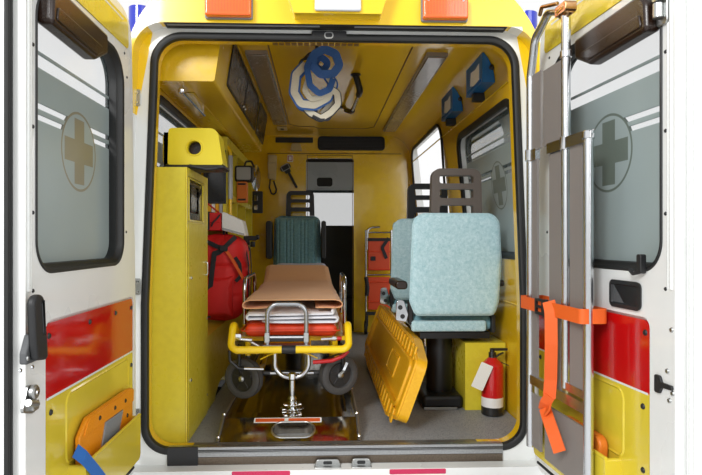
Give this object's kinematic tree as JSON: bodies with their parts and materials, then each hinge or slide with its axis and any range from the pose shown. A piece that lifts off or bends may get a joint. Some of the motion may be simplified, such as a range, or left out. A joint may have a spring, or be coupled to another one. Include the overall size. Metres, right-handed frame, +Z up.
{
  "type": "ambulance",
  "caption": "High-roof van ambulance with open rear doors, open sliding side door and a fitted patient room with stretcher, seats and cabinets.",
  "frame": {"origin": "on the ground under the centre of the bounding box, doors open as stored", "axes": "+Y towards the vehicle's nose, +X to the vehicle's right, +Z up"},
  "size_m": [2.38, 6.4804, 2.83],
  "materials": {
    "white_paint": "gloss",
    "yellow_paint": "gloss",
    "floor_vinyl": "satin",
    "yellow_lining": "gloss",
    "black_plastic": "matte",
    "grey_plastic": "matte",
    "clear_lamp": "gloss",
    "amber_lamp": "gloss",
    "window_glass": "gloss",
    "frosted_glass": "satin",
    "red_yellow_lining": "gloss",
    "seat_fabric": "satin",
    "steel": "brushed",
    "orange_vinyl": "satin",
    "tan_blanket": "matte",
    "board_yellow": "satin",
    "red_paint": "gloss",
    "red_fabric": "matte",
    "yellow_plastic": "satin",
    "blue_fabric": "matte",
    "blue_plastic": "satin",
    "orange_plastic": "satin",
    "aluminium": "brushed",
    "strap_webbing": "matte",
    "cast_iron": "matte",
    "tyre": "matte"
  },
  "bodies": {
    "body": {"rear_frame": "white_paint", "side_left": "white_paint", "side_right": "white_paint", "roof": "white_paint", "floor": "floor_vinyl", "bulkhead": "yellow_lining", "cab_body": "white_paint", "grille": "black_plastic", "headlamps": "clear_lamp", "front_bumper": "grey_plastic", "rear_bumper": "black_plastic", "signal_lamps": "amber_lamp", "body_glass": "window_glass", "sliding_door": "white_paint", "cabinets": "yellow_lining", "overhead_locker": "yellow_lining", "seat_frames": "black_plastic", "seat_cushions": "seat_fabric", "stretcher_platform": "steel", "stretcher_frame": "yellow_paint", "mattress": "orange_vinyl", "bedding": "tan_blanket", "spine_board": "board_yellow", "fire_extinguisher": "red_paint", "red_bag": "red_fabric", "suction_case": "yellow_plastic", "stair_chair": "orange_plastic", "hanging_harness": "blue_fabric", "ceiling_fittings": "black_plastic", "dispensers": "blue_plastic", "dashboard": "grey_plastic", "cab_seats": "grey_plastic", "engine": "cast_iron", "rear_axle": "cast_iron", "underbody": "cast_iron"},
    "rear_door_left": {"rear_door_left": "white_paint", "rear_door_glass_left": "frosted_glass", "rear_door_trim_left": "red_yellow_lining"},
    "rear_door_right": {"rear_door_right": "white_paint", "rear_door_glass_right": "frosted_glass", "rear_door_trim_right": "red_yellow_lining", "scoop_stretcher": "aluminium", "stowage_strap": "strap_webbing"},
    "cab_door_left": {"cab_door_left": "white_paint", "cab_window_left": "window_glass"},
    "cab_door_right": {"cab_door_right": "white_paint", "cab_window_right": "window_glass"},
    "bonnet": {"bonnet": "white_paint"},
    "knuckle_left": {"knuckle_left": "cast_iron"},
    "knuckle_right": {"knuckle_right": "cast_iron"},
    "wheel_front_left": {"wheel_front_left": "tyre"},
    "wheel_front_right": {"wheel_front_right": "tyre"},
    "wheel_rear_left": {"wheel_rear_left": "tyre"},
    "wheel_rear_right": {"wheel_rear_right": "tyre"}
  },
  "joints": [
    {"name": "rear_door_left_hinge", "type": "hinge", "parent": "body", "child": "rear_door_left", "pos_m": [-0.858, -2.38475, 1.55], "axis": [0, 0, -1], "range_deg": [-90.8, 89.2]},
    {"name": "rear_door_right_hinge", "type": "hinge", "parent": "body", "child": "rear_door_right", "pos_m": [0.858, -2.38475, 1.55], "axis": [0, 0, 1], "range_deg": [-94, 86]},
    {"name": "cab_door_left_hinge", "type": "hinge", "parent": "body", "child": "cab_door_left", "pos_m": [-0.972, 2.11725, 1.1], "axis": [0, 0, -1], "range_deg": [0, 65]},
    {"name": "cab_door_right_hinge", "type": "hinge", "parent": "body", "child": "cab_door_right", "pos_m": [0.972, 2.11725, 1.1], "axis": [0, 0, 1], "range_deg": [0, 65]},
    {"name": "bonnet_hinge", "type": "hinge", "parent": "body", "child": "bonnet", "pos_m": [0, 2.58425, 1.268], "axis": [1, 0, 0], "range_deg": [0, 60]},
    {"name": "steering_left", "type": "hinge", "parent": "body", "child": "knuckle_left", "pos_m": [-0.668, 2.22325, 0.345], "axis": [0, 0, 1], "range_deg": [-35, 35]},
    {"name": "steering_right", "type": "hinge", "parent": "body", "child": "knuckle_right", "pos_m": [0.668, 2.22325, 0.345], "axis": [0, 0, 1], "range_deg": [-35, 35]},
    {"name": "wheel_front_left_spin", "type": "hinge", "parent": "knuckle_left", "child": "wheel_front_left", "pos_m": [-0.815, 2.22325, 0.345], "axis": [1, 0, 0], "continuous": true},
    {"name": "wheel_front_right_spin", "type": "hinge", "parent": "knuckle_right", "child": "wheel_front_right", "pos_m": [0.815, 2.22325, 0.345], "axis": [1, 0, 0], "continuous": true},
    {"name": "wheel_rear_left_spin", "type": "hinge", "parent": "body", "child": "wheel_rear_left", "pos_m": [-0.815, -1.32675, 0.345], "axis": [1, 0, 0], "continuous": true},
    {"name": "wheel_rear_right_spin", "type": "hinge", "parent": "body", "child": "wheel_rear_right", "pos_m": [0.815, -1.32675, 0.345], "axis": [1, 0, 0], "continuous": true}
  ],
  "couplings": [
    {"joint": "steering_right", "follows": "steering_left", "ratio": 1}
  ]
}
